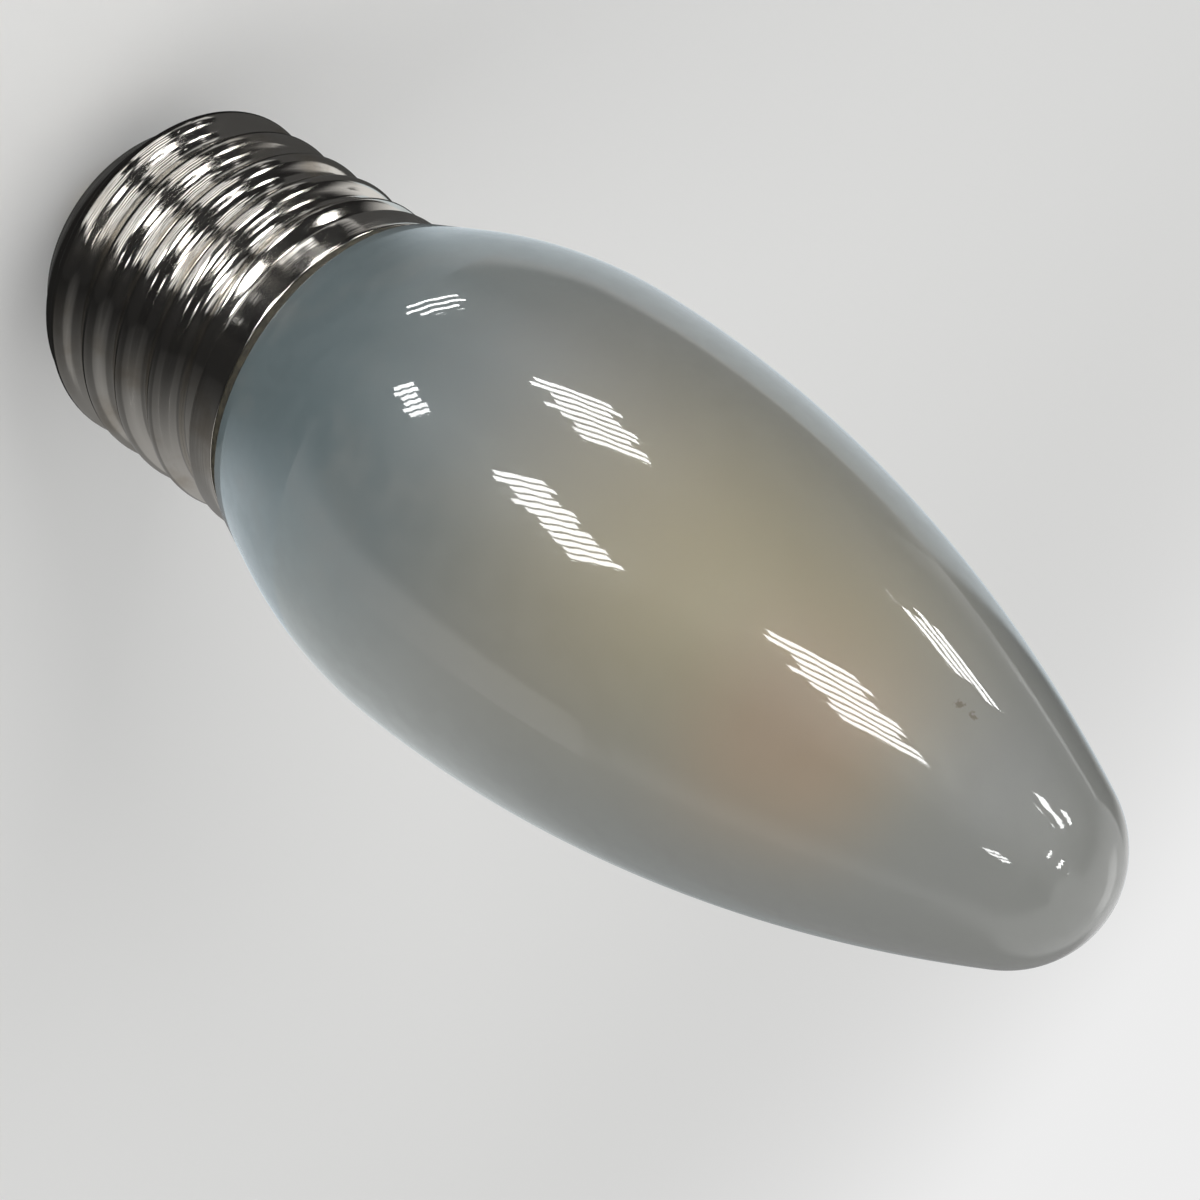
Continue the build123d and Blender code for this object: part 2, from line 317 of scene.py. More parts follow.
def ease(tree, value, start, end):
    """A smooth step from nought at start to one at end."""
    sources = enumerate((value, start, end))
    return made(tree, "ShaderNodeMapRange", sources, interpolation_type="SMOOTHSTEP").outputs[0]


def between(tree, mask, low, high):
    """A number that runs from low to high with a mask."""
    sources = {"Value": mask, "To Min": low, "To Max": high}
    return made(tree, "ShaderNodeMapRange", sources).outputs[0]


def blended(tree, mask, first, second):
    """A colour that runs from first to second with a mask; each is a colour or a socket."""
    sources = {MIX_FACTOR: mask}
    for place, source in ((MIX_FIRST, first), (MIX_SECOND, second)):
        is_socket = isinstance(source, bpy.types.NodeSocket)
        sources[place] = source if is_socket else (*source, 1.0)
    return made(tree, "ShaderNodeMix", sources, data_type="RGBA").outputs[MIX_RESULT]


def hump(tree, value, foot, low_top, high_top, end):
    """A mask that rises from foot to a flat top and falls again to end."""
    rise = ease(tree, value, foot, low_top)
    fall = ease(tree, value, high_top, end)
    return calculate(tree, "MULTIPLY", rise, calculate(tree, "SUBTRACT", 1.0, fall))


def add_socket(tree, in_out, name, kind="Float"):
    """A socket on a node group's own interface."""
    return tree.interface.new_socket(name=name, in_out=in_out, socket_type="NodeSocket" + kind)


def own_place(tree):
    """Places on a piece in its own space."""
    return tree.nodes.new("ShaderNodeTexCoord").outputs["Object"]


def mottle_group():
    """Soft uneven patches in the piece's own space, shared by most of the finishes."""
    tree = bpy.data.node_groups.new("mottle", "ShaderNodeTree")
    for name in ("Scale", "Detail", "Low", "High"):
        add_socket(tree, "INPUT", name)
    add_socket(tree, "OUTPUT", "Mask")
    source = tree.nodes.new("NodeGroupInput").outputs
    sources = {"Vector": own_place(tree), "Scale": source["Scale"], "Detail": source["Detail"]}
    noise = made(tree, "ShaderNodeTexNoise", sources).outputs["Fac"]
    made(tree, "NodeGroupOutput", {"Mask": ease(tree, noise, source["Low"], source["High"])})
    return tree


def mottled(tree, scale, detail=4.0, low=0.35, high=0.65):
    """The mottle group placed in a material with its own values; gives its mask."""
    group = bpy.data.node_groups.get("mottle") or mottle_group()
    sources = {"Scale": scale, "Detail": detail, "Low": low, "High": high}
    return made(tree, "ShaderNodeGroup", sources, node_tree=group).outputs["Mask"]


def finish(name, **constants):
    """A material with one Principled shader and its plain values; gives material, tree and shader."""
    material = bpy.data.materials.new(name)
    material.use_nodes = True
    tree = material.node_tree
    shader = tree.nodes["Principled BSDF"]
    feed(tree, shader, {socket.replace("_", " "): value for socket, value in constants.items()})
    return material, tree, shader


def roughened(tree, shader, height, distance, strength):
    """A fine bump on a shader."""
    sources = {"Distance": distance, "Strength": strength, "Height": height}
    feed(tree, shader, {"Normal": made(tree, "ShaderNodeBump", sources).outputs["Normal"]})


def dress(material, *names):
    """Put a finish on CAD nodes that keep their own shape."""
    for name in names:
        mesh = NODES[name].data
        mesh.materials.clear()
        mesh.materials.append(material)


# Finishes


class Tint(NamedTuple):
    """A tint on two sides of the frost: one side's direction, its narrowness, and heights of its hump."""

    direction: float
    narrowness: float
    heights: tuple


GLOW = Tint(-99.0, 3.2, (45.0, 66.0, 72.0, 86.0))
HEAT = Tint(-80.0, 7.0, (66.0, 74.0, 76.0, 83.0))
# Painted shade: the frost is darker and bluer near the cap; where this ends, and how much higher it reaches
# in front and behind
SHADE_HEIGHTS = (24.0, 51.0)
SHADE_DIRECTION, SHADE_NARROWNESS, SHADE_REACH = -80.0, 4.0, 11.0
# Patches: number to the metre, detail, and the noise where they begin and where they are full
CLOUDS = (150.0, 6.0, 0.45, 0.7)
CRUMBS = (2600.0, 2.0, 0.3, 0.7)
FROST_GRAIN = (600.0, 3.0)
PLATE_PATCHES = (260.0, 5.0, 0.45, 0.75)
CEMENT_GRAIN = (1800.0, 6.0)
# How far the clouds go from the painted shade near the cap to plain frost, and how far the frost's
# roughness strays
CLOUD_SHARE, FROST_SPREAD = 0.36, 0.06
# Two specks of dirt on the glass: middle and radius
SPECKS = (((-5.2, -8.87, 80.63), 0.62), ((-5.05, -8.46, 81.62), 0.42))
# Shares of a speck's radius: how much crumbs take off its edge, and where it is whole
SPECK_CRUMBS, SPECK_CORE = 0.8, 0.5
# Roughness of the bright plate and of its duller patches
PLATE_ROUGHNESS = (0.12, 0.23)
# Marks to the metre across, across and along the axis, left by the rolls on the shell
ROLL_MARKS = (110.0, 110.0, 2600.0)
ROLL_DETAIL = 2.0
# Depth of the cement's grain, and the strength of its bump
CEMENT_DEPTH, CEMENT_STRENGTH = 0.05, 0.5


def lobe(tree, angle, centre, power):
    """A mask that peaks at an angle round the axis and again on the far side."""
    wave = calculate(tree, "COSINE", calculate(tree, "SUBTRACT", angle, radians(centre)))
    return calculate(tree, "POWER", calculate(tree, "ABSOLUTE", wave), power)


def tint_mask(tree, tint, angle, height):
    """A mask for a tint on the frost."""
    band = hump(tree, height, *metres(tint.heights))
    return calculate(tree, "MULTIPLY", band, lobe(tree, angle, tint.direction, tint.narrowness))


def spot(tree, position, crumbs, centre, radius):
    """A mask that is one within a small ball, ragged by a mask of crumbs."""
    away = measure(tree, "DISTANCE", position, metres(centre))["Value"]
    edge = radius * MM
    ragged = calculate(tree, "MULTIPLY_ADD", crumbs, SPECK_CRUMBS * edge, away)
    return ease(tree, ragged, edge, SPECK_CORE * edge)


def frosted_glass(glass):
    """Glass that is glossy outside and frosted inside, tinted by what stands behind the frost, with painted
    shade that makes the frost darker and bluer near the cap.
    """
    material, tree, shader = finish(
        "frosted_glass", Transmission_Weight=glass.clearness, IOR=1.5, Coat_Weight=1.0,
        Coat_Roughness=0.012, Coat_IOR=1.5, Metallic=0.0,
    )
    position = own_place(tree)
    x, y, height = axes(tree, position)
    angle = calculate(tree, "ARCTAN2", y, x)
    # Painted shade: darker, bluer frost near the cap, which reaches higher in front and behind
    shade_lobe = lobe(tree, angle, SHADE_DIRECTION, SHADE_NARROWNESS)
    reach = calculate(tree, "MULTIPLY", shade_lobe, SHADE_REACH * MM)
    out_of_shade = ease(tree, calculate(tree, "SUBTRACT", height, reach), *metres(SHADE_HEIGHTS))
    clouds = between(tree, mottled(tree, *CLOUDS), 0.0, CLOUD_SHARE)
    shaded_near_cap = blended(tree, clouds, glass.shaded_frost, glass.plain)
    base = blended(tree, out_of_shade, shaded_near_cap, glass.plain)
    for tint, tone in ((GLOW, glass.warm), (HEAT, glass.blush)):
        base = blended(tree, tint_mask(tree, tint, angle, height), base, tone)
    crumbs = mottled(tree, *CRUMBS)
    for centre, radius in SPECKS:
        base = blended(tree, spot(tree, position, crumbs, centre, radius), base, glass.speck)
    grain = mottled(tree, *FROST_GRAIN)
    roughness = between(tree, grain, glass.frost - FROST_SPREAD, glass.frost + FROST_SPREAD)
    feed(tree, shader, {"Base Color": base, "Roughness": roughness})
    return material


def nickel_plate(shell):
    """Bright nickel with duller patches and fine marks that the rolls left round the shell."""
    material, tree, shader = finish("nickel_plate", Metallic=1.0)
    patches = mottled(tree, *PLATE_PATCHES)
    tint = blended(tree, patches, shell.nickel, shell.stain)
    feed(tree, shader, {"Base Color": tint, "Roughness": between(tree, patches, *PLATE_ROUGHNESS)})
    stretched = measure(tree, "MULTIPLY", own_place(tree), ROLL_MARKS)["Vector"]
    sources = {"Vector": stretched, "Scale": 1.0, "Detail": ROLL_DETAIL}
    marks = made(tree, "ShaderNodeTexNoise", sources).outputs["Fac"]
    roughened(tree, shader, marks, shell.mark_depth, 1.0)
    return material


def cement_finish(cap_end):
    """Baked cement, dark and grainy."""
    material, tree, shader = finish("cement", Roughness=0.75)
    grain = mottled(tree, *CEMENT_GRAIN)
    feed(tree, shader, {"Base Color": blended(tree, grain, cap_end.cement, cap_end.cement_dark)})
    roughened(tree, shader, grain, CEMENT_DEPTH * MM, CEMENT_STRENGTH)
    return material


def patterned(name, tint, depth=0.7, scale=700.0, **constants):
    """A plain finish whose colour varies a little over the surface."""
    material, tree, shader = finish(name, **constants)
    darker = [channel * depth for channel in tint]
    feed(tree, shader, {"Base Color": blended(tree, mottled(tree, scale), darker, tint)})
    return material


# Outlines


# Spacing of points along the straight parts of the glass and along the cement
GLASS_ROW, CEMENT_ROW = 1.5, 0.5
SHOULDER_STEPS, FLANK_STEPS, TIP_STEPS = 16, 36, 20
# Inner edge of the sheet in wall thicknesses: in and up at its foot, and up at its corner
FOOT_IN, FOOT_UP, CORNER_UP = 0.8, 0.6, 0.3
# How far the lip's arc has come in at its middle, as a share of its rounding
LIP_SHARE = 0.3
# Rows on the inside of the sheet are wider than those outside by this
INSIDE_ROWS = 2


def mouth_lean(glass):
    """Lean of the cone above the mouth from the axis."""
    swell = glass.belly_radius - glass.mouth_radius
    return glass.roundness * atan2(swell, glass.belly_height - glass.rim_height)


def seat_ends(glass):
    """The upper and the lower end of the seat, where the glass turns in to its neck."""
    top = (glass.mouth_radius + glass.seat_gap * tan(mouth_lean(glass)), glass.rim_height + glass.seat_gap)
    drop = (top[0] - glass.neck_radius) / tan(glass.seat_lean)
    return top, (glass.neck_radius, top[1] - drop)


def moved_in(point, lean_before, lean_after, inset):
    """A corner of an outline, moved inwards square to both of its sides."""
    part = inset / (1 + cos(lean_after - lean_before))
    across = cos(lean_before) + cos(lean_after)
    along = sin(lean_before) + sin(lean_after)
    return (point[0] - part * across, point[1] + part * along)


def glass_outline(glass, inset):
    """The candle outline from the neck's foot to the tip, or a line that lies an inset within it."""
    rise = glass.belly_height - glass.rim_height
    swell = glass.belly_radius - glass.mouth_radius
    lean = mouth_lean(glass)
    shoulder = (rise * sin(lean) - swell * cos(lean)) / (1 - cos(lean))
    tip_rise = glass.tip_height - glass.tip_radius - glass.belly_height
    flank = (tip_rise**2 + glass.belly_radius**2 - glass.tip_radius**2) / (
        2 * (glass.belly_radius - glass.tip_radius)
    )
    turn = atan2(tip_rise, flank - glass.belly_radius)
    seat_top, seat_foot = seat_ends(glass)
    shoulder_centre = (glass.belly_radius - shoulder, glass.belly_height)
    flank_centre = (glass.belly_radius - flank, glass.belly_height)
    tip_centre = (0.0, glass.tip_height - glass.tip_radius)
    upper = arc(shoulder_centre, shoulder - inset, -lean, 0, SHOULDER_STEPS)
    lower = [
        (glass.neck_radius - inset, glass.neck_foot),
        moved_in(seat_foot, 0, glass.seat_lean, inset),
        moved_in(seat_top, glass.seat_lean, lean, inset),
        upper.pop(0),
    ]
    upper += arc(flank_centre, flank - inset, 0, turn, FLANK_STEPS)[1:]
    upper += arc(tip_centre, glass.tip_radius - inset, turn, pi / 2, TIP_STEPS)[1:]
    upper[-1] = (0.0, glass.tip_height - inset)
    return divided(rounded(lower, glass.seat_round), GLASS_ROW * MM) + upper


def cement_outline(glass, shell, cap_end):
    """The cement between neck and shell, with the bead that was pressed out over the rim."""
    gap = cap_end.bead_gap
    seat_foot = seat_ends(glass)[1]
    bore = shell.root_radius - shell.wall - gap
    collar_bore = shell.collar_radius - shell.wall - gap
    bead_radius = shell.collar_radius + cap_end.bead
    bead_rise = (bead_radius - glass.neck_radius) / tan(glass.seat_lean)
    outline = [
        (glass.neck_radius + gap, glass.neck_foot),
        (bore, glass.neck_foot),
        (bore, shell.collar_foot),
        (collar_bore, shell.collar_foot + shell.collar_step),
        (collar_bore, shell.rim_height + gap),
        (shell.collar_radius - gap, shell.rim_height + gap),
        (bead_radius, seat_foot[1] + bead_rise - gap),
        (glass.neck_radius + gap, seat_foot[1] - gap),
    ]
    return divided(rounded(outline, cap_end.bead_round), CEMENT_ROW * MM)


def shell_outline(shell):
    """The sheet's closed outline: up the outside, over the lip and down the inside."""
    outside = [
        (shell.foot_radius, shell.foot_height),
        (shell.root_radius, shell.corner_height),
        (shell.root_radius, shell.collar_foot),
        (shell.collar_radius, shell.collar_foot + shell.collar_step),
        (shell.collar_radius, shell.rim_height - shell.lip_round),
    ]
    inside = [(radius - shell.wall, height) for radius, height in reversed(outside)]
    inside[-1] = (shell.foot_radius - FOOT_IN * shell.wall, shell.foot_height + FOOT_UP * shell.wall)
    inside[-2] = (shell.root_radius - shell.wall, shell.corner_height + CORNER_UP * shell.wall)
    come_in = LIP_SHARE * shell.lip_round
    lip = [
        (shell.collar_radius - come_in, shell.rim_height - come_in),
        (shell.collar_radius - shell.lip_round, shell.rim_height),
        (shell.collar_radius - shell.wall + come_in, shell.rim_height - come_in),
    ]
    outer = divided(rounded(outside, shell.step_round), shell.row)
    inner = divided(rounded(inside, shell.step_round), INSIDE_ROWS * shell.row)
    return outer + lip + inner


# Thread


THREAD_INPUTS = ("Pitch", "Depth", "Start", "Foot", "Head", "Run")


def arc_drop(tree, radius, away):
    """How far an arc has dropped from its top at a distance along it."""
    do = partial(calculate, tree)
    inner = do("SUBTRACT", do("POWER", radius, 2.0), do("POWER", away, 2.0))
    return do("SUBTRACT", radius, do("SQRT", do("MAXIMUM", inner, 0.0)))


def thread_height(tree, source, x, y, z):
    """How far a round thread stands out at a place.

    Crests and roots are arcs of one radius that meet halfway, as on common lamp threads, and the
    thread fades out towards both ends of the barrel.
    """
    do = partial(calculate, tree)
    pitch, depth = source["Pitch"], source["Depth"]
    turn = do("DIVIDE", do("ARCTAN2", y, x), 2 * pi)
    rise = do("DIVIDE", do("SUBTRACT", z, source["Start"]), pitch)
    turns = do("SUBTRACT", rise, turn)
    from_crest = do("ABSOLUTE", do("SUBTRACT", turns, do("ROUND", turns)))
    away = do("MULTIPLY", from_crest, pitch)
    half = do("MULTIPLY", pitch, 0.5)
    squares = do("ADD", do("POWER", half, 2.0), do("POWER", depth, 2.0))
    radius = do("DIVIDE", squares, do("MULTIPLY", depth, 4.0))
    crest = do("SUBTRACT", depth, arc_drop(tree, radius, away))
    root = arc_drop(tree, radius, do("SUBTRACT", half, away))
    on_crest = do("LESS_THAN", away, do("MULTIPLY", pitch, 0.25))
    ridge = do("ADD", root, do("MULTIPLY", do("SUBTRACT", crest, root), on_crest))
    foot_end = do("ADD", source["Foot"], source["Run"])
    head_start = do("SUBTRACT", source["Head"], source["Run"])
    return do("MULTIPLY", ridge, hump(tree, z, source["Foot"], foot_end, head_start, source["Head"]))


def thread_tree():
    """Rolls a round thread into a plain turned shell."""
    tree = bpy.data.node_groups.new("rolled_thread", "GeometryNodeTree")
    add_socket(tree, "INPUT", "Geometry", "Geometry")
    for name in THREAD_INPUTS:
        add_socket(tree, "INPUT", name)
    add_socket(tree, "INPUT", "Material", "Material")
    add_socket(tree, "OUTPUT", "Geometry", "Geometry")
    do = partial(calculate, tree)
    source = tree.nodes.new("NodeGroupInput").outputs
    x, y, z = axes(tree, tree.nodes.new("GeometryNodeInputPosition").outputs["Position"])
    out = do("SQRT", do("ADD", do("POWER", x, 2.0), do("POWER", y, 2.0)))
    part = do("DIVIDE", thread_height(tree, source, x, y, z), out)
    sources = {"X": do("MULTIPLY", x, part), "Y": do("MULTIPLY", y, part)}
    shift = made(tree, "ShaderNodeCombineXYZ", sources).outputs["Vector"]
    sources = {"Geometry": source["Geometry"], "Offset": shift}
    moved = made(tree, "GeometryNodeSetPosition", sources).outputs["Geometry"]
    whole = made(tree, "GeometryNodeRealizeInstances", {"Geometry": moved}).outputs["Geometry"]
    sources = {"Geometry": whole, "Material": source["Material"]}
    plated = made(tree, "GeometryNodeSetMaterial", sources).outputs["Geometry"]
    made(tree, "NodeGroupOutput", {"Geometry": plated})
    return tree


def plain_mesh(piece):
    """Turn a piece with a node modifier into a plain mesh."""
    graph = bpy.context.evaluated_depsgraph_get()
    mesh = bpy.data.meshes.new_from_object(piece.evaluated_get(graph))
    piece.modifiers.clear()
    piece.data = mesh


# Stage


class Panel(NamedTuple):
    """A striped light that the glass mirrors at a point, seen from there in a direction."""

    name: str
    mirror_point: tuple
    azimuth: float
    elevation: float
    distance: float
    width: float
    height: float
    roll: float
    stripes: int
    lit: float


PANELS = (
    Panel("panel_belly_left", (-6.5, -15.7, 53.8), -137.0, -20.4, 96.0, 28.0, 27.0, 45.0, 9, 0.66),
    Panel("panel_belly_front", (-0.3, -16.7, 56.3), -93.2, -15.5, 125.0, 28.0, 43.5, 36.0, 12, 0.72),
    Panel("panel_long_front", (-1.6, -12.0, 75.5), -107.0, 18.0, 320.0, 98.0, 108.0, 45.0, 9, 0.68),
    Panel("panel_long_left", (-7.4, -8.8, 77.6), -171.9, 11.8, 320.0, 72.0, 54.0, 106.0, 4, 0.66),
    Panel("panel_mouth_left", (-7.0, -15.5, 39.7), -152.5, -50.1, 42.0, 15.0, 6.0, 42.0, 3, 0.4),
    Panel("panel_mouth_front", (-1.3, -17.4, 43.5), -100.4, -39.5, 54.0, 8.7, 12.5, 32.0, 6, 0.7),
    Panel("panel_tip_left", (-3.0, -5.9, 88.2), -154.1, 35.0, 320.0, 52.0, 106.0, 92.0, 2, 0.4),
    Panel("panel_tip_front", (0.7, -7.1, 87.3), -77.8, 39.0, 320.0, 28.0, 18.0, 28.0, 3, 0.7),
    Panel("panel_tip_small", (-1.0, -5.6, 89.7), -125.0, 63.6, 320.0, 50.0, 160.0, -21.5, 2, 0.24),
)
# Stripes: angle that their wave turns along a panel, its height, the latest start, and how the ends
# follow the starts
STRIPE_WAVE, STRIPE_SWAY = 17.0, 0.07
STRIPE_START, STRIPE_END, STRIPE_SHORTER = 0.22, 1.14, 1.5
WHITE = (1.0, 1.0, 1.0)
COOL_WHITE = (0.84, 0.94, 1.0)


class Strip(NamedTuple):
    """A strip round the axis, from a radius and height at its foot to those at its head.

    Its light rises and falls over two soft shares of its length. Towards the head a plain light steps to
    head_share of itself, and leaning light begins and ends earlier there by that share of the length. The
    start, end, foot and head fade to clear over four shares.
    """

    name: str
    start: float
    end: float
    foot: tuple
    head: tuple
    light: float
    soft: tuple = ()
    stripes: int = 0
    head_share: float = 1.0
    lean: float = 0.0
    tint: tuple = WHITE
    clear: tuple = ()


# Cards that the cap mirrors, and a flag, a bright line, a window and a screen that the glass mirrors
CARDS = (
    Strip("card_cap_front", -114.6, -78.0, (22.0, 0.5), (22.0, 18.0), 2.2, (0.1, 0.1), 6),
    Strip("card_cap_left", -139.0, -115.2, (22.0, 0.5), (22.0, 19.6), 2.2, (0.1, 0.1), 6),
    Strip("card_cap_far_left", -152.6, -149.6, (22.0, 0.5), (22.0, 18.0), 1.2, (0.1, 0.1), 5),
    Strip("card_cap_dark", -78.0, -58.0, (22.0, 0.5), (22.0, 27.0), 0.02),
    Strip("card_cap_right", -58.0, 54.0, (22.0, 0.5), (22.0, 27.0), 0.23, (0.75, 0.12), 0, 1.8, 0.06),
    Strip("card_cap_back", 66.0, 84.0, (22.0, 0.5), (22.0, 18.0), 0.05),
    Strip("card_cap_back_left", 112.0, 200.0, (22.0, 0.5), (22.0, 18.0), 0.07),
    Strip("flag_back_left", 108.0, 151.5, (130.0, 55.0), (130.0, 132.0), 0.0, clear=(0.5, 0.03, 0.15, 0.1)),
    Strip("line_back_left", 151.5, 156.0, (128.0, 78.0), (128.0, 134.0), 1.3, clear=(0.3, 0.3, 0.3, 0.15)),
    Strip("window_back", 84.0, 134.0, (420.0, 300.0), (420.0, 520.0), 1.8, clear=(0.3, 0.3, 0.3, 0.3)),
    Strip("screen_back_right", -18.0, 90.0, (500.0, 0.0), (500.0, 380.0), 0.3, clear=(0.1, 0.1, 0.01, 0.3)),
)
# Baffles round the rim keep the glass and the cap from mirroring what is meant for the other
BAFFLES = (
    Strip("baffle_dark", 235.0, 288.0, (14.0, 27.6), (22.4, 27.6), 0.05, tint=COOL_WHITE),
    Strip("baffle_pale", -72.0, 235.0, (14.0, 27.6), (22.4, 27.6), 0.8, (0.12, 0.12), tint=COOL_WHITE),
    Strip("baffle_below", -58.0, 54.0, (22.4, 27.4), (14.0, 27.4), 0.42, (0.7, 0.12)),
)
# Degrees to a face of a strip, and the lit share of a striped one
STRIP_STEP = 4.0
STRIP_LIT = 0.34
# Light left at a plain strip's soft ends, and the shares of its height where the light steps to the head's
END_SHARE = 0.06
HEAD_STEP = (0.58, 0.68)
# Heights of the floor, of the painted shadow in front and the sheets over it, and of the dark disc of
# painted shade
FLOOR_LEVEL, STAGE_LEVEL, FOOT_LEVEL = -0.1, -0.05, -0.03
# The painted shadow on the floor in front of the lamp, which only the gloss shows: its edge, where it is
# fully dark, and how far it and the sheets reach
SHADOW_EDGE = ((-700.0, 490.0), (-40.0, 0.0), (20.0, -22.0), (900.0, -130.0))
SHADOW_CORE = ((-700.0, 330.0), (-42.0, -14.0), (16.0, -40.0), (900.0, -420.0))
SHEET_REACH = 900.0
# The pale sheets behind the lamp: the far end of their seam, where they fade, light in the distance, tint
SHEET_SPLIT = (-40.0, 900.0)
SHEET_FADE = (60.0, 260.0)
SHEETS = (("sheet_left", 1.0, COOL_WHITE), ("sheet_right", 0.46, (0.9, 0.96, 0.97)))
# Painted shade below the cap: a dark disc that only the gloss shows, and the paler ring on it that the
# shell's lower edge mirrors
FOOT_RADIUS, FOOT_SIDES = 25.0, 48
FOOT_RING = (7.4, 7.8, 8.0, 8.4)
FOOT_LIGHT = 0.1
# The dark screen that stands round the front of the stage, and the shares over which its edges fade
SCREEN_START, SCREEN_END, SCREEN_TOP = 140.0, 355.0, 82.0
SCREEN_RADIUS = 520.0
SCREEN_ROWS, SCREEN_COLUMNS = 10, 24
SCREEN_CLEAR = (0.13, 0.13, 0.01, 0.1)
# Distances from the lamp over which the floor fades into the background, and the floor's faint patches
FLOOR_FADE = (190.0, 480.0)
FLOOR_PATCHES, FLOOR_DARKER = 3.0, 0.99
# Places and sides of the soft lamps, in metres
KEY_PLACE, KEY_SIDE = (-0.46, -0.44, 0.47), 0.45
FILL_PLACE, FILL_SIDE = (0.5, -0.35, 0.4), 0.5
# The camera's place, and the directions of the picture's right and down
CAMERA_PLACE = Vector((1.981, -136.564, 124.337)) * MM
CAMERA_RIGHT = Vector((-0.57997, 0.37671, 0.72230))
CAMERA_DOWN = Vector((0.81463, 0.26820, 0.51424))
CAMERA_SENSOR, CAMERA_CLIP = 36.0, 0.005


def one_sided(name, strength, mask=None, tint=WHITE, cover=None):
    """Light on the front of a stage piece; mask shapes the light, and where cover is nought it is clear."""
    material = bpy.data.materials.new(name)
    material.use_nodes = True
    tree = material.node_tree
    tree.nodes.clear()
    shaped = calculate(tree, "MULTIPLY", mask(tree), strength) if mask else strength
    light = made(tree, "ShaderNodeEmission", {"Color": (*tint, 1.0), "Strength": shaped})
    clear = tree.nodes.new("ShaderNodeBsdfTransparent")
    open_share = tree.nodes.new("ShaderNodeNewGeometry").outputs["Backfacing"]
    if cover:
        open_share = calculate(tree, "MAXIMUM", open_share, calculate(tree, "SUBTRACT", 1.0, cover(tree)))
    sources = (open_share, light.outputs["Emission"], clear.outputs["BSDF"])
    mix = made(tree, "ShaderNodeMixShader", enumerate(sources))
    made(tree, "ShaderNodeOutputMaterial", {"Surface": mix.outputs["Shader"]})
    return material


def stage_place(tree):
    """The U and V of a stage piece."""
    return axes(tree, tree.nodes.new("ShaderNodeTexCoord").outputs["UV"])[:2]


def fading_edges(tree, start, end, foot, head):
    """A cover whose edges fade to clear over these shares of its width and height."""
    along, across = stage_place(tree)
    wide = hump(tree, along, 0.0, start, 1.0 - end, 1.0)
    return calculate(tree, "MULTIPLY", wide, hump(tree, across, 0.0, foot, 1.0 - head, 1.0))


def striped(tree, lit):
    """Stripes of uneven length and a slight wave; V counts the stripes."""
    do = partial(calculate, tree)
    along, across = stage_place(tree)
    wave = do("SINE", do("MULTIPLY", along, STRIPE_WAVE))
    across = do("MULTIPLY_ADD", wave, STRIPE_SWAY, across)
    chance = made(tree, "ShaderNodeTexWhiteNoise", {"W": do("FLOOR", across)}, noise_dimensions="1D")
    start = do("MULTIPLY", chance.outputs["Value"], STRIPE_START)
    end = do("SUBTRACT", STRIPE_END, do("MULTIPLY", start, STRIPE_SHORTER))
    bar = do("LESS_THAN", do("FRACT", across), lit)
    begun = do("GREATER_THAN", along, start)
    going = do("LESS_THAN", along, end)
    return do("MULTIPLY", bar, do("MULTIPLY", begun, going))


def stage_mesh(name, vertices, faces, places, material):
    """A stage piece that only the gloss of the lamp shows; each vertex has its place in U and V."""
    mesh = bpy.data.meshes.new(name)
    mesh.from_pydata([Vector(vertex) * MM for vertex in vertices], [], faces)
    layer = mesh.uv_layers.new(name="stage")
    for loop, corner in zip(layer.data, mesh.loops):
        loop.uv = places[corner.vertex_index]
    mesh.materials.append(material)
    piece = placed(name, mesh)
    for rays in ("camera", "diffuse", "transmission", "volume_scatter", "shadow"):
        setattr(piece, f"visible_{rays}", False)
    return piece


def flat_piece(name, outline, level, material):
    """A flat stage piece with one face."""
    vertices = [(x, y, level) for x, y in outline]
    stage_mesh(name, vertices, [tuple(range(len(outline)))], [(0, 0)] * len(outline), material)


def glint_panel(panel, strength):
    """A striped panel that faces a point on the glass from a direction."""
    azimuth, elevation = radians(panel.azimuth), radians(panel.elevation)
    level = cos(elevation)
    towards = Vector((cos(azimuth) * level, sin(azimuth) * level, sin(elevation)))
    turn = (-towards).to_track_quat("Z", "Y").to_matrix().to_4x4()
    place = (Vector(panel.mirror_point) + towards * panel.distance) * MM
    w, h = panel.width / 2, panel.height / 2
    corners = [(-w, -h, 0), (w, -h, 0), (w, h, 0), (-w, h, 0)]
    places = [(0, 0), (1, 0), (1, panel.stripes), (0, panel.stripes)]
    material = one_sided(panel.name, strength, partial(striped, lit=panel.lit))
    piece = stage_mesh(panel.name, corners, [(0, 1, 2, 3)], places, material)
    piece.matrix_world = Matrix.Translation(place) @ turn @ Matrix.Rotation(radians(panel.roll), 4, "Z")


def strip_light(tree, strip):
    """The light's share at each place of a strip with soft ends."""
    along, across = stage_place(tree)
    leaning = calculate(tree, "MULTIPLY_ADD", across, strip.lean, along)
    rise, fall = strip.soft
    last = 1.0 + strip.lean
    mask = hump(tree, leaning, 0.0, rise, last - fall, last)
    if strip.stripes:
        return calculate(tree, "MULTIPLY", mask, striped(tree, STRIP_LIT))
    to_head = between(tree, ease(tree, across, *HEAD_STEP), 1.0, strip.head_share)
    return calculate(tree, "MULTIPLY", between(tree, mask, END_SHARE, 1.0), to_head)


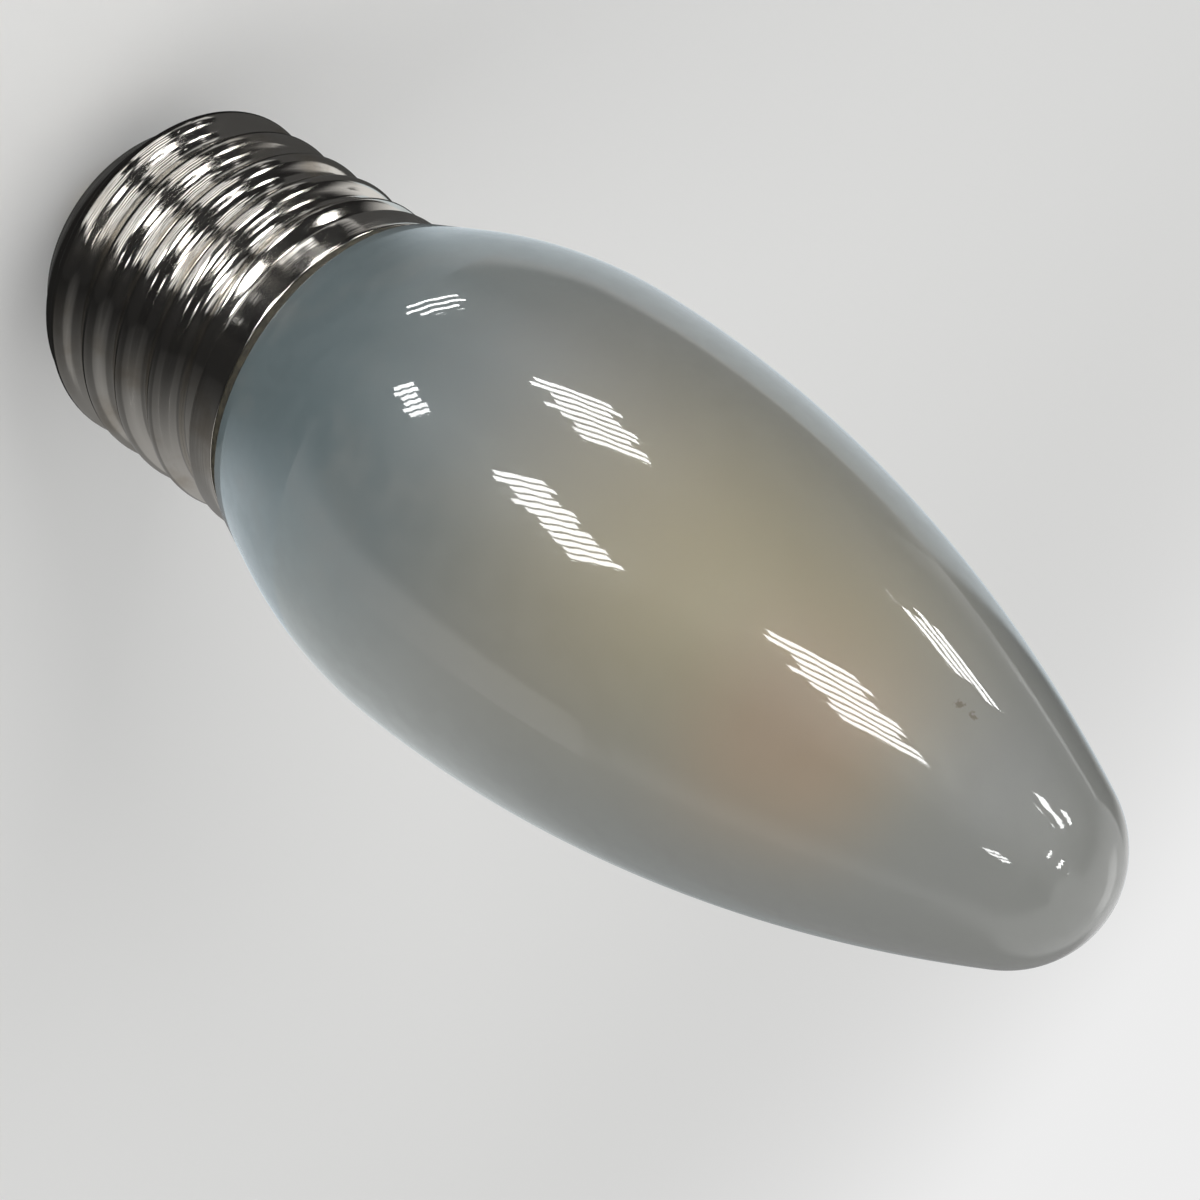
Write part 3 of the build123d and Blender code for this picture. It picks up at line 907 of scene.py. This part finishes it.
def bent_strip(strip):
    """A strip bent round the axis; an upright one is lit on its inside."""
    steps = max(2, round((strip.end - strip.start) / STRIP_STEP))
    vertices, places = [], []
    for step in range(steps + 1):
        angle = radians(strip.start + (strip.end - strip.start) * step / steps)
        for across, (radius, height) in enumerate((strip.foot, strip.head)):
            vertices.append((radius * cos(angle), radius * sin(angle), height))
            places.append((step / steps, across * max(strip.stripes, 1)))
    faces = [(2 * step, 2 * step + 1, 2 * step + 3, 2 * step + 2) for step in range(steps)]
    mask = partial(strip_light, strip=strip) if strip.soft else None
    cover = (lambda tree: fading_edges(tree, *strip.clear)) if strip.clear else None
    material = one_sided(strip.name, strip.light, mask, strip.tint, cover)
    stage_mesh(strip.name, vertices, faces, places, material)


def distance_away(tree):
    """How far a place on the floor is from the lamp's foot."""
    return measure(tree, "LENGTH", own_place(tree))["Value"]


def front_shadow(shade, pale):
    """A painted shadow, which only the gloss shows, on the floor in front of the lamp; it pales towards its
    edge.
    """
    count = len(SHADOW_EDGE)
    outline = [*SHADOW_EDGE, *SHADOW_CORE, (SHEET_REACH, -SHEET_REACH), (-SHEET_REACH, -SHEET_REACH)]
    vertices = [(x, y, STAGE_LEVEL) for x, y in outline]
    faces = [(step, count + step, count + step + 1, step + 1) for step in range(count - 1)]
    faces.append((*range(2 * count - 1, count - 1, -1), 2 * count + 1, 2 * count))
    places = [(0, 1)] * count + [(0, 0)] * (count + 2)

    def fading(tree):
        """One at the shadow's edge, and the shade within."""
        return between(tree, ease(tree, stage_place(tree)[1], 0.0, 1.0), shade / pale, 1.0)

    # Painted shadow in front of the lamp, which only the gloss shows
    stage_mesh("front_shadow", vertices, faces, places, one_sided("cloth", pale, fading))


def sheet_light(tree, distant):
    """One at the lamp's foot, and a share of it in the distance."""
    return between(tree, ease(tree, distance_away(tree), *metres(SHEET_FADE)), 1.0, distant)


def pale_sheets(pale):
    """Two pale sheets on the floor behind the lamp, up to the edge of the painted shadow."""
    middle = len(SHADOW_EDGE) // 2
    foot = (0.0, 0.0)
    left = [*SHADOW_EDGE[:middle], foot, SHEET_SPLIT, (-SHEET_REACH, SHEET_REACH)]
    right = [*SHADOW_EDGE[middle:], (SHEET_REACH, SHEET_REACH), SHEET_SPLIT, foot]
    for (name, distant, tint), outline in zip(SHEETS, (left, right)):
        material = one_sided(name, pale, partial(sheet_light, distant=distant), tint)
        flat_piece(name, outline, STAGE_LEVEL, material)


def foot_shade(shade):
    """A dark disc of painted shade below the cap, with a paler ring."""

    def ring(tree):
        """One on the ring, and the shade elsewhere."""
        mask = hump(tree, distance_away(tree), *metres(FOOT_RING))
        return between(tree, mask, shade / FOOT_LIGHT, 1.0)

    outline = arc((0.0, 0.0), FOOT_RADIUS, 0.0, 2 * pi, FOOT_SIDES)[:-1]
    flat_piece("foot_shade", outline, FOOT_LEVEL, one_sided("foot_shade", FOOT_LIGHT, ring))


def dark_screen(shade):
    """A dark screen, part of a ball, round the front of the stage."""
    vertices, places, faces = [], [], []
    for row in range(SCREEN_ROWS + 1):
        tilt = radians(SCREEN_TOP * row / SCREEN_ROWS)
        for column in range(SCREEN_COLUMNS + 1):
            angle = radians(SCREEN_START + (SCREEN_END - SCREEN_START) * column / SCREEN_COLUMNS)
            across = SCREEN_RADIUS * cos(tilt)
            vertices.append((across * cos(angle), across * sin(angle), SCREEN_RADIUS * sin(tilt)))
            places.append((column / SCREEN_COLUMNS, row / SCREEN_ROWS))
    for row in range(SCREEN_ROWS):
        for column in range(SCREEN_COLUMNS):
            first = row * (SCREEN_COLUMNS + 1) + column
            above = first + SCREEN_COLUMNS + 1
            faces.append((first, above, above + 1, first + 1))
    screen = one_sided("dark_screen", shade, cover=lambda tree: fading_edges(tree, *SCREEN_CLEAR))
    stage_mesh("dark_screen", vertices, faces, places, screen)


def soft_lamp(name, place, side, power):
    """A large soft lamp aimed at the middle of the bulb."""
    light = bpy.data.lights.new(name, "AREA")
    light.shape = "SQUARE"
    light.size = side
    light.energy = power
    lamp = placed(name, light)
    middle = (CAD_BOX[0] + CAD_BOX[1]) / 2
    lamp.location = place
    lamp.rotation_mode = "QUATERNION"
    lamp.rotation_quaternion = (middle - Vector(place)).to_track_quat("-Z", "Y")
    lamp.visible_camera = False
    lamp.visible_glossy = False


def seen_share(tree):
    """One for what the camera sees, directly, mirrored or through glass."""
    path = tree.nodes.new("ShaderNodeLightPath")
    seen = calculate(tree, "MAXIMUM", path.outputs["Is Camera Ray"], path.outputs["Is Transmission Ray"])
    return calculate(tree, "MAXIMUM", seen, path.outputs["Is Glossy Ray"])


def floor_finish(tint, backdrop):
    """A matt floor that fades into the pale background at a distance from the lamp."""
    material, tree, shader = finish("floor", Roughness=0.9, Specular_IOR_Level=0.1)
    darker = [FLOOR_DARKER * channel for channel in tint]
    feed(tree, shader, {"Base Color": blended(tree, mottled(tree, FLOOR_PATCHES), darker, tint)})
    far = ease(tree, distance_away(tree), *metres(FLOOR_FADE))
    far_and_seen = calculate(tree, "MULTIPLY", far, seen_share(tree))
    light = made(tree, "ShaderNodeEmission", {"Strength": backdrop})
    sources = (far_and_seen, shader.outputs["BSDF"], light.outputs["Emission"])
    mix = made(tree, "ShaderNodeMixShader", enumerate(sources))
    feed(tree, tree.nodes["Material Output"], {"Surface": mix.outputs["Shader"]})
    return material


def pale_floor(stage):
    """A square floor just below the lamp."""
    half, level = stage.floor_size / 2, FLOOR_LEVEL * MM
    corners = [(-half, -half, level), (half, -half, level), (half, half, level), (-half, half, level)]
    mesh = bpy.data.meshes.new("floor")
    mesh.from_pydata(corners, [], [(0, 1, 2, 3)])
    mesh.materials.append(floor_finish(stage.floor, stage.backdrop))
    floor = placed("floor", mesh)


def even_sky(strength, backdrop):
    """Even light from all round, and a pale background behind the floor's edge."""
    world = bpy.data.worlds.new("even_sky")
    world.use_nodes = True
    tree = world.node_tree
    light = between(tree, seen_share(tree), strength, backdrop)
    feed(tree, tree.nodes["Background"], {"Color": (*WHITE, 1.0), "Strength": light})
    bpy.context.scene.world = world


def photo_camera(lens):
    """A camera at the photograph's viewing angle, rolled so that the tip points down to the right."""
    data = bpy.data.cameras.new("photo_camera")
    data.sensor_width = CAMERA_SENSOR
    data.lens = lens
    data.clip_start = CAMERA_CLIP
    camera = placed("photo_camera", data)
    ahead = CAMERA_RIGHT.cross(CAMERA_DOWN)
    turn = Matrix((CAMERA_RIGHT, -CAMERA_DOWN, -ahead)).transposed().to_4x4()
    camera.matrix_world = Matrix.Translation(CAMERA_PLACE) @ turn
    bpy.context.scene.camera = camera


# Operators


FILAMENTS = range(1, 5)


class CANDLE_OT_glass(bpy.types.Operator):
    """Make the blown glass with its frost."""

    bl_idname = "candle.glass"
    bl_label = "Glass bulb"

    def execute(self, context):
        glass = context.scene.candle_glass
        outline = glass_outline(glass, 0.0) + glass_outline(glass, glass.wall)[::-1]
        piece = turned("glass_envelope", outline, context.scene.candle_stage.turns)
        piece.data.materials.append(frosted_glass(glass))
        settle(piece, "glass_bulb")
        return {"FINISHED"}


class CANDLE_OT_shell(bpy.types.Operator):
    """Make the nickel shell and roll its thread."""

    bl_idname = "candle.shell"
    bl_label = "Screw shell"

    def execute(self, context):
        shell = context.scene.candle_shell
        piece = turned("rolled_shell", shell_outline(shell), context.scene.candle_stage.turns)
        tree = thread_tree()
        values = {
            "Pitch": shell.pitch,
            "Depth": shell.depth,
            "Start": shell.start,
            "Foot": shell.corner_height - 0.5 * shell.run,
            "Head": shell.collar_foot,
            "Run": shell.run,
            "Material": nickel_plate(shell),
        }
        modifier = piece.modifiers.new("rolled_thread", "NODES")
        modifier.node_group = tree
        for socket in tree.interface.items_tree:
            if socket.in_out == "INPUT" and socket.name in values:
                modifier[socket.identifier] = values[socket.name]
        plain_mesh(piece)
        piece.data.shade_smooth()
        settle(piece, "screw_shell")
        return {"FINISHED"}


class CANDLE_OT_cap_end(bpy.types.Operator):
    """Make the cement, and finish the insulator, the contact and its solder."""

    bl_idname = "candle.cap_end"
    bl_label = "Cap end"

    def execute(self, context):
        scene = context.scene
        cap_end = scene.candle_cap_end
        outline = cement_outline(scene.candle_glass, scene.candle_shell, cap_end)
        cement = turned("cement_ring", outline, scene.candle_stage.turns)
        cement.data.materials.append(cement_finish(cap_end))
        settle(cement, "basing_cement")
        insulator = patterned("insulator_glass", cap_end.insulator, Roughness=0.12, Coat_Weight=0.5)
        dress(insulator, "cap_insulator")
        contact = patterned("contact_plate", cap_end.contact, 0.8, Metallic=1.0, Roughness=0.28)
        dress(contact, "centre_contact")
        dress(patterned("solder", cap_end.solder, 0.75, Metallic=1.0, Roughness=0.42), "contact_solder")
        return {"FINISHED"}


class CANDLE_OT_inside(bpy.types.Operator):
    """Finish the stem, the filaments, the wires and the driver."""

    bl_idname = "candle.inside"
    bl_label = "Pieces inside"

    def execute(self, context):
        inside = context.scene.candle_inside
        dress(
            patterned("phosphor", inside.phosphor, 0.85, 900.0, Roughness=0.6),
            *[f"phosphor_coat_{number}" for number in FILAMENTS],
        )
        dress(
            patterned("strip", inside.strip, 0.9, Roughness=0.5),
            *[f"filament_strip_{number}" for number in FILAMENTS],
        )
        dress(
            patterned("wire", inside.wire, 0.8, Metallic=1.0, Roughness=0.3),
            "lead_wire_a", "lead_wire_b", "top_support", "live_wire", "neutral_wire",
        )
        dress(
            patterned("stem_glass", inside.stem, 0.97, Roughness=0.05, Transmission_Weight=1.0, IOR=1.5),
            "glass_stem", "exhaust_tube",
        )
        dress(patterned("board", inside.board, 0.6, 1200.0, Roughness=0.55), "driver_board")
        dress(patterned("chip", inside.chip, 0.7, Roughness=0.5), "bridge_rectifier", "driver_chip")
        dress(patterned("can", inside.can, 0.85, Metallic=1.0, Roughness=0.35), "smoothing_capacitor")
        dress(patterned("fuse", inside.fuse, 0.75, Roughness=0.3), "fuse_resistor")
        return {"FINISHED"}


class CANDLE_OT_stage(bpy.types.Operator):
    """Make the floor, the light, the pieces that the lamp mirrors and the camera."""

    bl_idname = "candle.stage"
    bl_label = "Stage"

    def execute(self, context):
        stage = context.scene.candle_stage
        context.scene.view_settings.view_transform = "Standard"
        pale_floor(stage)
        even_sky(stage.sky, stage.backdrop)
        soft_lamp("key_lamp", KEY_PLACE, KEY_SIDE, stage.key)
        soft_lamp("fill_lamp", FILL_PLACE, FILL_SIDE, stage.fill)
        for panel in PANELS:
            glint_panel(panel, stage.glint)
        for card in CARDS:
            bent_strip(card)
        front_shadow(stage.shade, stage.pale)
        pale_sheets(stage.pale)
        for baffle in BAFFLES:
            bent_strip(baffle)
        foot_shade(stage.shade)
        dark_screen(stage.shade)
        photo_camera(stage.lens)
        return {"FINISHED"}


class CANDLE_PT_looks(bpy.types.Panel):
    """Lists the pieces and their settings."""

    bl_idname = "CANDLE_PT_looks"
    bl_label = "Candle lamp"
    bl_space_type = "VIEW_3D"
    bl_region_type = "UI"
    bl_category = "Candle lamp"

    def draw(self, context):
        for operator, group in zip(OPERATORS, SETTINGS):
            box = self.layout.box()
            box.operator(operator.bl_idname)
            for setting in getattr(context.scene, group).bl_rna.properties:
                if setting.identifier not in ("rna_type", "name"):
                    box.prop(getattr(context.scene, group), setting.identifier)


OPERATORS = (CANDLE_OT_glass, CANDLE_OT_shell, CANDLE_OT_cap_end, CANDLE_OT_inside, CANDLE_OT_stage)
SETTINGS = {
    "candle_glass": GlassSettings,
    "candle_shell": ShellSettings,
    "candle_cap_end": CapEndSettings,
    "candle_inside": InsideSettings,
    "candle_stage": StageSettings,
}


def register():
    """Register the settings, the operators and the panel."""
    for name, group in SETTINGS.items():
        bpy.utils.register_class(group)
        setattr(bpy.types.Scene, name, PointerProperty(type=group))
    for operator in OPERATORS:
        bpy.utils.register_class(operator)
    bpy.utils.register_class(CANDLE_PT_looks)


def unregister():
    """Take everything out again."""
    bpy.utils.unregister_class(CANDLE_PT_looks)
    for operator in reversed(OPERATORS):
        bpy.utils.unregister_class(operator)
    for name, group in reversed(SETTINGS.items()):
        delattr(bpy.types.Scene, name)
        bpy.utils.unregister_class(group)


def main():
    """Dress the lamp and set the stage."""
    register()
    bpy.ops.candle.glass()
    bpy.ops.candle.shell()
    bpy.ops.candle.cap_end()
    bpy.ops.candle.inside()
    bpy.ops.candle.stage()


if __name__ == "__main__":
    main()
